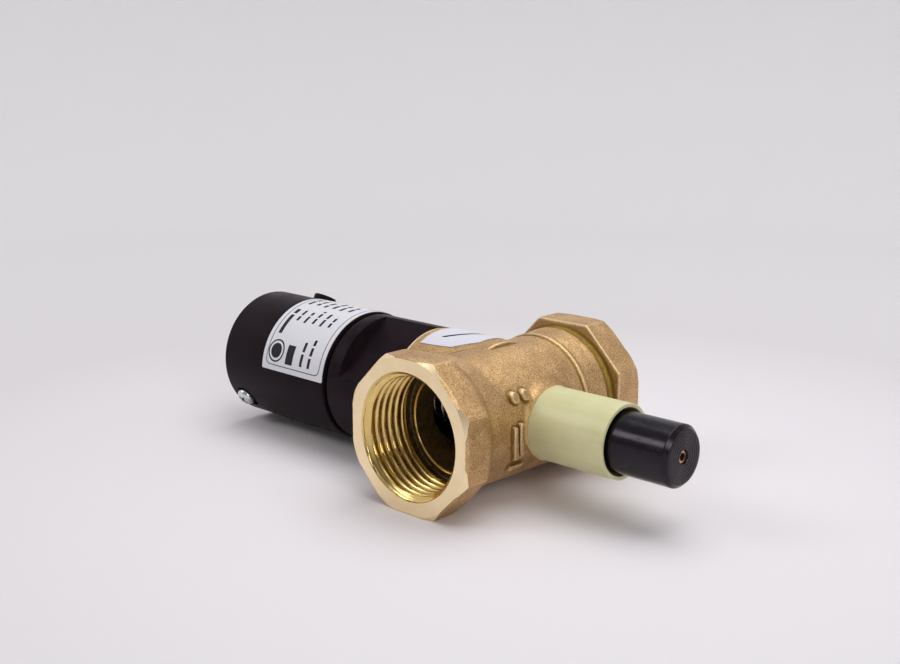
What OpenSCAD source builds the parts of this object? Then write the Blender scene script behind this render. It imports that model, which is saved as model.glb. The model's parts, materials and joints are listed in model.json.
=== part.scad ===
// Electromagnetic shut-off valve with manual reset, for G1 pipe.
// A cast cross-shaped body has two coaxial threaded ports. One side arm carries a holding coil
// in a plastic housing, the other a push knob in a guard sleeve. Pushing the knob lifts the
// poppet off its seat and brings the armature to the pole of the coil, which holds it there.
//
// Frame, in millimetres: Y is the pipe axis, X is the actuator axis with the knob towards +X,
// Z is up. The origin is where the two axes cross.

/* [Ports] */
// Radius of the port bore: minor radius of the G1 pipe thread
port_bore_r = 15.145; // [15.0:0.005:15.3]
// Radius of the countersink at the port face
port_mouth_r = 16.75; // [16.2:0.05:17.0]
// Distance from the centre to each port face
port_reach = 34.9; // [34.5:0.1:40]
// Across-flats size of the octagonal port ends
octagon_af = 40.2; // [38:0.1:44]
// Axial length of each octagonal port end
octagon_len = 9.1; // [8:0.1:10]
// Length of the threaded bore, countersink included
thread_len = 14.4; // [13.5:0.1:15]

/* [Body] */
// Outer radius of the barrel between the ports
barrel_r = 17.6; // [17.4:0.1:18]
// Outer radius of the neck that takes the adapter
neck_r = 18.57; // [18.4:0.01:18.8]
// Distance from the centre to the end of the neck
neck_reach = 24.1; // [24:0.1:27]
// Distance from the centre to the face of the sleeve boss
boss_reach = 17.9; // [17.7:0.1:19]
// Outer radius of the sleeve boss
boss_r = 10.6; // [10:0.1:11.5]
// Radius of the flow chambers
chamber_r = 13; // [12.8:0.1:13.2]
// Radius of the seat opening
seat_r = 9; // [8:0.5:9.5]

/* [Adapter and housing] */
// Outer radius of the adapter
adapter_r = 18.6; // [18.5:0.05:19]
// Length of the adapter that shows
adapter_len = 25.3; // [25:0.1:28]
// Width of the adapter's round flange
flange_w = 5; // [4:0.5:7]
// Across-flats size of the two spanner flats
spanner_af = 28.5; // [27:0.1:32]
// Direction of the first spanner flat, in degrees from +Y towards +Z
flat_angle = 127.5; // [90:0.5:150]
// Gap between the adapter and the housing
joint_gap = 1.2; // [0.8:0.1:1.5]
// Outer radius of the coil housing
housing_r = 19; // [18.8:0.1:21]
// Length of the coil housing
housing_len = 46.15; // [45:0.05:50]
// Wall thickness of the coil housing
housing_wall = 2; // [2:0.1:2.4]

/* [Reset knob] */
// Radius of the push knob
knob_r = 7.9; // [7.5:0.1:8]
// How far the knob stands out of the sleeve with the valve shut
knob_out = 17.1; // [14:0.1:20]
// Outer radius of the guard sleeve
sleeve_r = 9.75; // [9.6:0.05:10.2]
// Wall thickness of the guard sleeve
sleeve_wall = 1.09; // [0.9:0.01:1.1]
// Length of the guard sleeve
sleeve_len = 23.3; // [22:0.1:28]
// Travel of the knob, stem and poppet
travel = 8; // [6:0.5:8]

/* [Stem and poppet] */
// Radius of the stem
stem_r = 2.5; // [2.2:0.1:2.8]
// Radius of the poppet plate
poppet_r = 11.5; // [11:0.1:11.8]
// Radius of the rubber seal disc
seal_r = 11; // [10.6:0.1:11]
// Running clearance of sliding parts on the radius
slide_gap = 0.06; // [0.03:0.01:0.09]

/* [Marks] */
// Height of the raised marks on the casting
mark_h = 0.6; // [0.3:0.1:0.8]
// Thickness of the rating label and the sticker
label_t = 0.12; // [0.1:0.02:0.2]

/* [Hidden] */
$fn = 96;

eps = 0.1;          // how far a cutter runs past the face it cuts
fit_gap = 0.05;     // radial gap between fixed parts that locate each other

// Colours
cast_brass = [0.74, 0.58, 0.36];
turned_brass = [0.85, 0.70, 0.42];
black_plastic = [0.11, 0.10, 0.12];
black_rubber = [0.06, 0.06, 0.06];
zinc = [0.78, 0.79, 0.80];
iron = [0.50, 0.51, 0.52];
stainless = [0.70, 0.71, 0.72];
copper = [0.72, 0.38, 0.20];
sleeve_green = [0.74, 0.77, 0.62];
label_white = [0.88, 0.90, 0.93];
terminal_cream = [0.85, 0.82, 0.72];

// Ports and chambers, along Y
collar_y = [15.1, 23.4];   // both ends of the collar in front of the rear octagon
relief_w = 1.5;
relief_r = 16;
thread_end = port_reach - thread_len;
relief_end = thread_end - relief_w;
wall_in = 12.8;     // inner face of each cross wall that turns the flow to the seat
wall_out = 14.8;    // outer face of the same wall
corner_in_cut = 0.7;    // turned corners of each octagon: radial cut at the inner end, its length
corner_in_w = 2;
corner_out_cut = 1.2;   // the same at the face
corner_out_w = 1.8;
octagon_core_r = octagon_af / 2 - 1;
taper_end = 17;         // where the taper behind the front octagon meets the barrel
collar_rise = [0.3, 0.9];   // how far the collar stands above the barrel at its two ends
groove_rise = 0.2;
web_t = 2.5;        // thickness of the web that holds the seat, from x = 0
seat_rim_h = 1;
seat_rim_w = 1.6;

// Neck of the body, along X
neck_end_x = -neck_reach;
neck_root_x = 0.8;
neck_bore_r = 14.5;
neck_bore_len = 8.1;
neck_step_x = neck_end_x + neck_bore_len;
poppet_bore_r = 12.5;

// Guide bush, in the boss
bush_r = 6.45;
bush_in_x = boss_reach - 7.9;
bush_flange_w = 3.6;
bush_flange_r = sleeve_r - sleeve_wall - slide_gap;
stem_seal_wire_r = 0.8;
stem_seal_r = stem_r + 0.02 + stem_seal_wire_r;
stem_seal_x = [bush_in_x + 2.4, bush_in_x + 5];
bush_seal_wire_r = 0.55;
bush_seal_r = bush_r - bush_seal_wire_r;
bush_seal_x = boss_reach - 0.8;

// Adapter and coil housing, along X
adapter_end_x = neck_end_x - adapter_len;
flat_end_x = adapter_end_x + flange_w;
housing_front_x = adapter_end_x - joint_gap;
housing_end_x = housing_front_x - housing_len;
housing_inner_x = housing_front_x - 2.8;
housing_bore_r = housing_r - housing_wall;
housing_chamfer = 0.5;
coupling_r = 12.9;
coupling_end_x = housing_inner_x - 2;
adapter_seal_wire_r = 1.2;
adapter_seal_r = neck_bore_r - fit_gap - adapter_seal_wire_r;
adapter_seal_x = neck_end_x + 3.6;

// Armature tube and magnetic circuit, along X
tube_r = 7.8;
tube_bore_r = 7;
tube_flange_r = 9.2;
tube_flange_w = 1.5;
spring_pocket_x = neck_end_x - 5.4;
yoke_t = 2;
yoke_r = housing_bore_r - 0.1;
coil_len = 17;
coil_front_x = coupling_end_x - yoke_t;
coil_rear_x = coil_front_x - coil_len;
tube_end_x = coil_rear_x - yoke_t - 1;
tube_end_wall = 0.8;
armature_r = tube_bore_r - slide_gap;
armature_front_x = spring_pocket_x - 6;
armature_len = 24;
armature_rear_x = armature_front_x - armature_len;
pole_air_gap = 0.2;
pole_front_x = armature_rear_x - travel - pole_air_gap;
bobbin_flange_t = 1.5;
bobbin_flange_r = 15.6;
bobbin_hub_r = 8.6;
winding_r = 15;
lead_slot_w = 8;
lead_slot_r = 11.6;

// End cover, screws, terminals and entry plug
cover_len = 8.7;
cover_out_x = housing_end_x + 0.5;
cover_in_x = cover_out_x + cover_len;
cover_r = housing_bore_r - fit_gap;
cover_dish_r = 12;
cover_dish_depth = 0.8;
cover_seal_wire_r = 0.9;
cover_seal_x = cover_in_x - 1.4;
screw_x = housing_end_x + 5.15;
screw_angles = [216.5, 36.5];
screw_shank_r = 1.5;
screw_head_r = 2.9;
screw_head_h = 2.5;
screw_head_rim_h = 1.2;
screw_head_top_r = 1.8;
recess_len = 3.4;
recess_w = 0.7;
recess_z = 0.9;
screw_seat_r = housing_r - 1.1;
screw_pocket_r = 4;
screw_tip_r = 11;
entry_x = housing_end_x + 15;
entry_angle = 62;
entry_flange_r = 3.5;
entry_seat_r = housing_r - 0.5;
entry_top_r = housing_r + 1.5;
entry_shank_r = 2.9;
entry_slot = [4.4, 0.8, 0.9];
terminal_size = [7, 14, 8];
terminal_pitch = 7;
terminal_head_r = 1.9;
lead_r = 0.5;
lead_offset = terminal_pitch / 2 - terminal_head_r - lead_r - fit_gap;
lead_out_z = 13.4;              // height at which the leads leave the bobbin
lead_bend_x = coil_rear_x - 4.6;

// Knob, sleeve and stem, along X
sleeve_end_x = boss_reach + sleeve_len;
sleeve_bore_r = sleeve_r - sleeve_wall;
knob_end_x = sleeve_end_x + knob_out;
knob_root_x = boss_reach + bush_flange_w + travel + 1;
knob_chamfer = 1.1;
set_screw_r = 1.7;
set_screw_depth = 0.5;
set_screw_in_x = knob_end_x - 9.8;
hex_socket_af = 2;
stem_tail_x = armature_front_x - 8;
stem_tip_x = set_screw_in_x - fit_gap;

// Poppet stack on the stem, from the seat towards -X
seal_front_x = -seat_rim_h - 0.02;
seal_t = 3.2;
plate_front_x = seal_front_x - seal_t;
plate_t = 3;
plate_rear_x = plate_front_x - plate_t;
ring_t = 0.8;
ring_r = 4.6;
washer_t = 1.2;
washer_r = 6.5;
nut_t = 3.2;
nut_af = 8;

// Closing spring
spring_wire_r = 0.6;
spring_r = 8;
spring_turns = 6.5;
spring_end_gap = 0.05;

// Marks
rib_r = [[12, 13], [14, 15]];                   // inner and outer radius of each rib
rib_angles = [[172, 208], [176, 206]];
pellet_y = [-12.5, -8.5];
pellet_z = 8.9;
pellet_r = 1.1;
bar_size = [5, 1.2];
bar_corner = [-14, -10.2];
label_x = [housing_front_x - 27.4, housing_front_x - 0.3];
label_angle = [14, 176];
sticker_x = [neck_end_x + 2.8, -6.6];
sticker_angle = [64, 118];

// A cylinder along X from x0 to x1
module x_cyl(r, x0, x1)
    translate([x0, 0, 0]) rotate([0, 90, 0]) cylinder(h = x1 - x0, r = r);

// A ring along X from x0 to x1
module x_ring(r_out, r_in, x0, x1)
    difference() {
        x_cyl(r_out, x0, x1);
        x_cyl(r_in, x0 - eps, x1 + eps);
    }

// A cylinder along Y from y0 to y1
module y_cyl(r, y0, y1)
    translate([0, y0, 0]) rotate([-90, 0, 0]) cylinder(h = y1 - y0, r = r);

// A profile of [radius, x] points turned about the X axis
module x_turned(profile) rotate([0, 90, 0]) rotate_extrude() polygon(profile);

// A profile of [radius, y] points turned about the Y axis
module y_turned(profile) rotate([-90, 0, 0]) rotate_extrude() polygon(profile);

// An O-ring about the X axis
module x_oring(ring_r, wire_r, x)
    translate([x, 0, 0]) rotate([0, 90, 0]) rotate_extrude() translate([ring_r, 0]) circle(r = wire_r, $fn = 32);

// Turns the child's Z axis to point away from the X axis at station x, angle degrees from +Y to +Z
module radial(x, angle) rotate([angle, 0, 0]) translate([x, 0, 0]) rotate([-90, 0, 0]) children();

// A hexagonal prism along X
module x_hex(af, x0, x1)
    translate([x0, 0, 0]) rotate([0, 90, 0]) cylinder(h = x1 - x0, r = af / 2 / cos(30), $fn = 6);

// A thin sheet wrapped round the X axis
module wrapped_sheet(r, xs, angles)
    rotate([angles[0], 0, 0]) rotate([0, 90, 0])
        rotate([0, 0, 90])
            rotate_extrude(angle = angles[1] - angles[0])
                translate([r, xs[0]]) square([label_t, xs[1] - xs[0]]);

// Valve body ---------------------------------------------------------------

// One octagonal port end with its turned corners; side is -1 or 1
module port_octagon(side) {
    corner_r = octagon_af / 2 / cos(22.5);
    inner_y = port_reach - octagon_len;
    mirror([0, side < 0 ? 1 : 0, 0])
        intersection() {
            translate([0, inner_y, 0]) rotate([-90, 0, 0]) rotate([0, 0, 22.5])
                cylinder(h = octagon_len, r = corner_r, $fn = 8);
            y_turned([
                [0, inner_y - eps], [corner_r - corner_in_cut, inner_y - eps],
                [corner_r + eps, inner_y + corner_in_w], [corner_r + eps, port_reach - corner_out_w],
                [corner_r - corner_out_cut, port_reach], [0, port_reach]
            ]);
        }
}

// The barrel between the ports: a taper behind the front port, a collar before the rear one
module barrel() {
    y_turned([
        [0, -port_reach + 2], [octagon_core_r, -port_reach + 2],
        [octagon_core_r, -port_reach + octagon_len],
        [barrel_r, -taper_end], [barrel_r, collar_y[0]], [barrel_r + collar_rise[0], collar_y[0]],
        [barrel_r + collar_rise[1], collar_y[1]], [barrel_r + groove_rise, collar_y[1] + 0.8],
        [octagon_core_r, port_reach - octagon_len], [octagon_core_r, port_reach - 2], [0, port_reach - 2]
    ]);
}

// Threaded port: countersink, bore and relief groove; side is -1 or 1
module port_bore(side)
    mirror([0, side < 0 ? 1 : 0, 0]) {
        y_turned([
            [0, relief_end], [relief_r, relief_end], [relief_r, thread_end],
            [port_bore_r, thread_end], [port_bore_r, port_reach - (port_mouth_r - port_bore_r)],
            [port_mouth_r + eps, port_reach + eps], [0, port_reach + eps]
        ]);
    }

// Flow chamber of the front port: full behind the port, then only the half on the neck's side
module front_chamber() {
    y_cyl(chamber_r, -relief_end - eps, -wall_out);
    intersection() {
        y_cyl(chamber_r, -wall_out - eps, wall_in);
        translate([-chamber_r - 1, -wall_out - eps, -chamber_r - 1])
            cube([chamber_r + 1, wall_out + wall_in + eps, 2 * chamber_r + 2]);
    }
}

// Flow chamber of the rear port, on the boss's side of the web
module rear_chamber() {
    y_cyl(chamber_r, wall_out, relief_end + eps);
    intersection() {
        y_cyl(chamber_r, -wall_in, wall_out + eps);
        translate([web_t, -wall_in, -chamber_r - 1])
            cube([chamber_r + 1, wall_in + wall_out + eps, 2 * chamber_r + 2]);
    }
}

// A sector of a ring about the X axis, angles from +Y towards +Z
module x_sector(r_in, r_out, angles)
    rotate([angles[0], 0, 0]) rotate([0, 90, 0]) rotate([0, 0, 90])
        rotate_extrude(angle = angles[1] - angles[0]) translate([r_in, 0]) square([r_out - r_in, barrel_r + 2]);

// Raised foundry marks beside the boss, following the barrel: two ribs, two pellets and a bar
module cast_marks() {
    intersection() {
        y_cyl(barrel_r + mark_h, -taper_end, 0);
        union() {
            for (i = [0, 1]) x_sector(rib_r[i][0], rib_r[i][1], rib_angles[i]);
            for (y = pellet_y)
                translate([0, y, pellet_z]) rotate([0, 90, 0]) cylinder(h = barrel_r + 2, r = pellet_r, $fn = 48);
            translate([0, bar_corner[0], bar_corner[1]]) cube([barrel_r + 2, bar_size[0], bar_size[1]]);
        }
    }
}

module valve_body() {
    color(cast_brass)
    union() {
        difference() {
            union() {
                barrel();
                port_octagon(-1);
                port_octagon(1);
                x_cyl(neck_r, neck_end_x, neck_root_x);
                x_cyl(boss_r, neck_root_x, boss_reach);
                cast_marks();
            }
            port_bore(-1);
            port_bore(1);
            front_chamber();
            rear_chamber();
            x_cyl(neck_bore_r, neck_end_x - eps, neck_step_x);
            x_cyl(poppet_bore_r, neck_step_x - eps, 0);
            x_cyl(seat_r, -eps, web_t + eps);
            x_cyl(bush_r + fit_gap, boss_reach - 9, boss_reach + eps);
        }
        x_ring(seat_r + seat_rim_w, seat_r, -seat_rim_h, web_t / 2);
    }
}

// Adapter ------------------------------------------------------------------

module adapter() {
    color(black_plastic)
    difference() {
        union() {
            x_turned([
                [0, adapter_end_x], [adapter_r - 0.4, adapter_end_x], [adapter_r, adapter_end_x + 0.4],
                [adapter_r, neck_end_x - 0.3], [adapter_r - 0.3, neck_end_x], [0, neck_end_x]
            ]);
            x_cyl(adapter_r - 1.4, housing_front_x, adapter_end_x + eps);
            x_cyl(coupling_r, coupling_end_x, housing_front_x + eps);
            x_cyl(neck_bore_r - fit_gap, neck_end_x - eps, neck_step_x);
        }
        for (turn = [0, 180])
            rotate([flat_angle + turn, 0, 0])
                translate([flat_end_x, spanner_af / 2, -adapter_r])
                    cube([neck_end_x - flat_end_x + eps, adapter_r, 2 * adapter_r]);
        x_cyl(tube_r + fit_gap, coupling_end_x - eps, spring_pocket_x);
        x_cyl(tube_flange_r + eps, spring_pocket_x - tube_flange_w, neck_step_x + eps);
        x_ring(adapter_r, neck_bore_r - fit_gap - 2 * adapter_seal_wire_r - 0.02,
               adapter_seal_x - adapter_seal_wire_r, adapter_seal_x + adapter_seal_wire_r);
    }
}

module adapter_seal() {
    color(black_rubber) x_oring(adapter_seal_r, adapter_seal_wire_r, adapter_seal_x);
}

// Coil housing and its end ----------------------------------------------------

module coil_housing() {
    color(black_plastic)
    difference() {
        x_turned([
            [coupling_r + fit_gap, housing_front_x], [housing_r - housing_chamfer, housing_front_x],
            [housing_r, housing_front_x - housing_chamfer],
            [housing_r, housing_end_x + housing_chamfer],
            [housing_r - housing_chamfer, housing_end_x], [housing_bore_r, housing_end_x],
            [housing_bore_r, housing_inner_x], [coupling_r + fit_gap, housing_inner_x]
        ]);
        for (angle = screw_angles)
            radial(screw_x, angle) {
                translate([0, 0, screw_seat_r - 3]) cylinder(h = 6, r = screw_shank_r + fit_gap);
                translate([0, 0, screw_seat_r]) cylinder(h = 3, r = screw_pocket_r);
            }
        radial(entry_x, entry_angle) {
            translate([0, 0, entry_seat_r - 4]) cylinder(h = 6, r = entry_shank_r + fit_gap);
            translate([0, 0, entry_seat_r]) cylinder(h = 3, r = entry_flange_r + fit_gap);
        }
    }
}

module end_cover() {
    color(black_plastic)
    difference() {
        x_turned([
            [0, cover_out_x], [cover_r - 0.6, cover_out_x], [cover_r, cover_out_x + 0.6],
            [cover_r, cover_in_x], [0, cover_in_x]
        ]);
        x_ring(housing_r, cover_r - 2 * cover_seal_wire_r - 0.02,
               cover_seal_x - cover_seal_wire_r, cover_seal_x + cover_seal_wire_r);
        for (angle = screw_angles)
            radial(screw_x, angle) translate([0, 0, screw_tip_r - 0.5])
                cylinder(h = housing_r, r = screw_shank_r + 0.02);
        // Shallow dish in the outer face
        x_cyl(cover_dish_r, cover_out_x - eps, cover_out_x + cover_dish_depth);
    }
}

module cover_seal() {
    color(black_rubber) x_oring(cover_r - cover_seal_wire_r, cover_seal_wire_r, cover_seal_x);
}

// Pan head cross-recess screw along +Z, seated at height seat_z
module pan_screw(seat_z, tip_z) {
    difference() {
        union() {
            translate([0, 0, tip_z]) cylinder(h = seat_z - tip_z + eps, r = screw_shank_r);
            translate([0, 0, seat_z]) rotate_extrude() polygon([
                [0, 0], [screw_head_r, 0], [screw_head_r, screw_head_rim_h],
                [screw_head_top_r, screw_head_h], [0, screw_head_h]
            ]);
        }
        for (turn = [45, 135])
            rotate([0, 0, turn]) translate([-recess_len / 2, -recess_w / 2, seat_z + recess_z])
                cube([recess_len, recess_w, screw_head_h]);
    }
}

module cover_screws() {
    color(zinc) for (angle = screw_angles) radial(screw_x, angle) pan_screw(screw_seat_r, screw_tip_r);
}

module entry_plug() {
    color(black_plastic)
    radial(entry_x, entry_angle) difference() {
        union() {
            translate([0, 0, housing_bore_r + 0.2])
                cylinder(h = entry_seat_r - housing_bore_r, r = entry_shank_r);
            translate([0, 0, entry_seat_r]) rotate_extrude() polygon([
                [0, 0], [entry_flange_r, 0], [entry_flange_r, entry_top_r - entry_seat_r - 0.4],
                [entry_flange_r - 0.4, entry_top_r - entry_seat_r], [0, entry_top_r - entry_seat_r]
            ]);
        }
        translate([-entry_slot[0] / 2, -entry_slot[1] / 2, entry_top_r - entry_slot[2]])
            cube([entry_slot[0], entry_slot[1], entry_slot[2] + eps]);
    }
}

// Terminals and leads ----------------------------------------------------------

module terminal_block() {
    color(terminal_cream)
    difference() {
        translate([cover_in_x, -terminal_size[1] / 2, -terminal_size[2] / 2]) cube(terminal_size);
        for (side = [-1, 1])
            translate([cover_in_x + terminal_size[0] / 2, side * terminal_pitch / 2, -2])
                cylinder(h = terminal_size[2], r = 1 + fit_gap, $fn = 48);
    }
}

module terminal_screws() {
    color(zinc)
    for (side = [-1, 1])
        translate([cover_in_x + terminal_size[0] / 2, side * terminal_pitch / 2, 0]) difference() {
            union() {
                translate([0, 0, -1.8]) cylinder(h = terminal_size[2] / 2 + 1.9, r = 1, $fn = 48);
                translate([0, 0, terminal_size[2] / 2]) cylinder(h = 1.2, r = terminal_head_r, $fn = 48);
            }
            translate([-2, -0.3, terminal_size[2] / 2 + 0.6]) cube([4, 0.6, 2]);
        }
}

// Each lead runs back out of the bobbin, down behind it and over the block to its terminal screw
module coil_leads() {
    block_z = terminal_size[2] / 2 + lead_r + fit_gap;
    end_x = cover_in_x + terminal_size[0] / 2;
    color(copper)
    for (side = [-1, 1])
        translate([0, side * lead_offset, 0]) {
            translate([lead_bend_x, 0, lead_out_z]) rotate([0, 90, 0])
                cylinder(h = coil_rear_x + bobbin_flange_t - lead_bend_x, r = lead_r, $fn = 32);
            translate([lead_bend_x, 0, lead_out_z]) sphere(r = lead_r, $fn = 32);
            translate([lead_bend_x, 0, block_z]) cylinder(h = lead_out_z - block_z, r = lead_r, $fn = 32);
            translate([lead_bend_x, 0, block_z]) sphere(r = lead_r, $fn = 32);
            translate([end_x, 0, block_z]) rotate([0, 90, 0])
                cylinder(h = lead_bend_x - end_x, r = lead_r, $fn = 32);
        }
}

// Coil and magnetic circuit ------------------------------------------------------

// Slot through a disc at the top, for the leads
module lead_slot(x0, x1)
    translate([x0 - eps, -lead_slot_w / 2, lead_slot_r]) cube([x1 - x0 + 2 * eps, lead_slot_w, 8]);

module coil_bobbin() {
    color(terminal_cream)
    difference() {
        x_turned([
            [tube_r + 0.1, coil_rear_x], [bobbin_flange_r, coil_rear_x],
            [bobbin_flange_r, coil_rear_x + bobbin_flange_t],
            [bobbin_hub_r, coil_rear_x + bobbin_flange_t], [bobbin_hub_r, coil_front_x - bobbin_flange_t],
            [bobbin_flange_r, coil_front_x - bobbin_flange_t], [bobbin_flange_r, coil_front_x],
            [tube_r + 0.1, coil_front_x]
        ]);
        lead_slot(coil_rear_x, coil_rear_x + bobbin_flange_t);
    }
}

module coil_winding() {
    color(copper)
    x_ring(winding_r, bobbin_hub_r + 0.05, coil_rear_x + bobbin_flange_t + 0.05,
           coil_front_x - bobbin_flange_t - 0.05);
}

module yoke_tube() {
    color(iron) x_ring(yoke_r, yoke_r - 1, coil_rear_x, coil_front_x);
}

module yoke_washers() {
    color(iron) {
        x_ring(yoke_r, tube_r + 0.1, coil_front_x, coil_front_x + yoke_t);
        difference() {
            x_ring(yoke_r, tube_r + 0.1, coil_rear_x - yoke_t, coil_rear_x);
            lead_slot(coil_rear_x - yoke_t, coil_rear_x);
        }
    }
}

module guide_tube() {
    color(stainless)
    x_turned([
        [0, tube_end_x], [tube_r, tube_end_x], [tube_r, spring_pocket_x - tube_flange_w],
        [tube_flange_r, spring_pocket_x - tube_flange_w], [tube_flange_r, spring_pocket_x],
        [tube_bore_r, spring_pocket_x], [tube_bore_r, tube_end_x + tube_end_wall],
        [0, tube_end_x + tube_end_wall]
    ]);
}

module fixed_pole() {
    color(iron) x_cyl(tube_bore_r - 0.03, tube_end_x + tube_end_wall + 0.02, pole_front_x);
}

// Labels -----------------------------------------------------------------------

module rating_label() {
    color(label_white) wrapped_sheet(housing_r, label_x, label_angle);
}

module marking_sticker() {
    color(label_white) wrapped_sheet(neck_r, sticker_x, sticker_angle);
}

// Guard sleeve and guide bush ------------------------------------------------------

module guard_sleeve() {
    color(sleeve_green)
    x_turned([
        [sleeve_bore_r, boss_reach], [sleeve_r, boss_reach], [sleeve_r, sleeve_end_x - 0.2],
        [sleeve_r - 0.2, sleeve_end_x], [sleeve_bore_r + 0.2, sleeve_end_x],
        [sleeve_bore_r, sleeve_end_x - 0.2]
    ]);
}

module guide_bush() {
    color(turned_brass)
    difference() {
        union() {
            x_cyl(bush_r, bush_in_x, boss_reach + eps);
            x_cyl(bush_flange_r, boss_reach, boss_reach + bush_flange_w);
        }
        x_cyl(stem_r + slide_gap, bush_in_x - eps, boss_reach + bush_flange_w + eps);
        for (x = stem_seal_x)
            x_cyl(stem_seal_r + stem_seal_wire_r + 0.03, x - stem_seal_wire_r, x + stem_seal_wire_r);
        x_ring(bush_flange_r, bush_seal_r - bush_seal_wire_r - 0.02,
               bush_seal_x - bush_seal_wire_r, bush_seal_x + bush_seal_wire_r);
    }
}

module stem_seals() {
    color(black_rubber) for (x = stem_seal_x) x_oring(stem_seal_r, stem_seal_wire_r, x);
}

module bush_seal() {
    color(black_rubber) x_oring(bush_seal_r, bush_seal_wire_r, bush_seal_x);
}

// Closing spring -----------------------------------------------------------------

// Point k of the wire's section i along a helix about the X axis
function helix_point(i, k, steps, sides, x0, x1) =
    let (turn = 360 * spring_turns * i / steps, section = 360 * k / sides,
         r = spring_r + spring_wire_r * cos(section),
         x = x0 + (x1 - x0) * i / steps + spring_wire_r * sin(section))
    [x, r * cos(turn), r * sin(turn)];

module closing_spring() {
    steps = round(spring_turns * 24);
    sides = 8;
    x0 = spring_pocket_x + spring_wire_r + spring_end_gap;
    x1 = plate_rear_x - spring_wire_r - spring_end_gap;
    points = [for (i = [0:steps]) for (k = [0:sides - 1]) helix_point(i, k, steps, sides, x0, x1)];
    walls = [for (i = [0:steps - 1]) for (k = [0:sides - 1])
        let (next = (k + 1) % sides)
        [i * sides + k, i * sides + next, (i + 1) * sides + next, (i + 1) * sides + k]];
    first_cap = [for (k = [sides - 1:-1:0]) k];
    last_cap = [for (k = [0:sides - 1]) steps * sides + k];
    color(stainless) polyhedron(points, concat(walls, [first_cap, last_cap]));
}

// Moving group: knob, stem, poppet and armature ------------------------------------------

module reset_knob() {
    color(black_plastic)
    x_turned([
        [stem_r + 0.02, knob_root_x], [knob_r - 0.4, knob_root_x], [knob_r, knob_root_x + 0.4],
        [knob_r, knob_end_x - knob_chamfer], [knob_r - knob_chamfer, knob_end_x],
        [set_screw_r + fit_gap, knob_end_x], [set_screw_r + fit_gap, set_screw_in_x],
        [stem_r + 0.02, set_screw_in_x]
    ]);
}

module knob_screw() {
    color(copper)
    difference() {
        x_cyl(set_screw_r, set_screw_in_x, knob_end_x - set_screw_depth);
        x_hex(hex_socket_af, knob_end_x - set_screw_depth - 2, knob_end_x);
    }
}

module stem() {
    color(stainless)
    difference() {
        x_cyl(stem_r, stem_tail_x + fit_gap, stem_tip_x);
        x_ring(stem_r + 1, stem_r - 0.6, plate_rear_x - ring_t, plate_rear_x);
    }
}

module retaining_ring() {
    color(stainless)
    difference() {
        x_ring(ring_r, stem_r - 0.58, plate_rear_x - ring_t + 0.02, plate_rear_x - 0.02);
        translate([plate_rear_x - ring_t - eps, -1.2, -ring_r - 1]) cube([ring_t + 2 * eps, 2.4, ring_r + 1]);
    }
}

module poppet_plate() {
    color(turned_brass) x_ring(poppet_r, stem_r + 0.02, plate_rear_x, plate_front_x);
}

module poppet_seal() {
    color(black_rubber) x_ring(seal_r, stem_r + 0.02, plate_front_x, seal_front_x);
}

module clamp_washer() {
    color(turned_brass) x_ring(washer_r, stem_r + 0.02, seal_front_x, seal_front_x + washer_t);
}

module clamp_nut() {
    color(turned_brass)
    difference() {
        x_hex(nut_af, seal_front_x + washer_t, seal_front_x + washer_t + nut_t);
        x_cyl(stem_r + 0.02, seal_front_x, seal_front_x + washer_t + nut_t + eps);
    }
}

module armature() {
    color(iron)
    difference() {
        x_turned([
            [0, armature_rear_x], [armature_r - 0.3, armature_rear_x], [armature_r, armature_rear_x + 0.3],
            [armature_r, armature_front_x - 0.3], [armature_r - 0.3, armature_front_x],
            [0, armature_front_x]
        ]);
        x_cyl(stem_r + 0.02, stem_tail_x, armature_front_x + eps);
    }
}

valve_body();
adapter();
adapter_seal();
coil_housing();
end_cover();
cover_seal();
cover_screws();
entry_plug();
terminal_block();
terminal_screws();
coil_leads();
coil_bobbin();
coil_winding();
yoke_tube();
yoke_washers();
guide_tube();
fixed_pole();
rating_label();
marking_sticker();
guard_sleeve();
guide_bush();
stem_seals();
bush_seal();
closing_spring();
reset_knob();
knob_screw();
stem();
retaining_ring();
poppet_plate();
poppet_seal();
clamp_washer();
clamp_nut();
armature();
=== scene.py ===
"""The looks of an electromagnetic shut-off valve with manual reset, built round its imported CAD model.

The frame is the CAD's: X is the actuator axis with the knob towards +X, Y is the pipe axis with the
front port towards -Y, and Z is up. Shapes are worked out in millimetres and written in metres.
Angles round the X axis run from +Y towards +Z.
"""

import json
import math

import bmesh
import bpy
import numpy as np
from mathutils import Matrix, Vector, noise


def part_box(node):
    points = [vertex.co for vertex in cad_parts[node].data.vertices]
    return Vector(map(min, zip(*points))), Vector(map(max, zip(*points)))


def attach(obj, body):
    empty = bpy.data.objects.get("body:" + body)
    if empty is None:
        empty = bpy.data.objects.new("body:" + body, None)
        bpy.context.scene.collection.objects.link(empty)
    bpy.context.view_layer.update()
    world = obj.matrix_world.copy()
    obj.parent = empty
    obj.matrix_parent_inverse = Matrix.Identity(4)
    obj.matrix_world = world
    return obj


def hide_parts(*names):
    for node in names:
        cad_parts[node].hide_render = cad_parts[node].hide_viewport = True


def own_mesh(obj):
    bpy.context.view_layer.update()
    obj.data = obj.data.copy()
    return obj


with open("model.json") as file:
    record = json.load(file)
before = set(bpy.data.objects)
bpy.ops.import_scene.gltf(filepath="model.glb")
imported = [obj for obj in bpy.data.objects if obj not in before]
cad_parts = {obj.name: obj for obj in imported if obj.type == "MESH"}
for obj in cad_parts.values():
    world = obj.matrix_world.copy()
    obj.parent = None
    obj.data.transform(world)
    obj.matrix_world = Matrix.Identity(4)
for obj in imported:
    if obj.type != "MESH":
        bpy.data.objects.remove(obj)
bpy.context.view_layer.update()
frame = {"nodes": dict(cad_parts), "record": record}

MM = 0.001
FIXED, MOVING = "valve", "reset_stem"
BLACK = "black_plastic"


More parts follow.
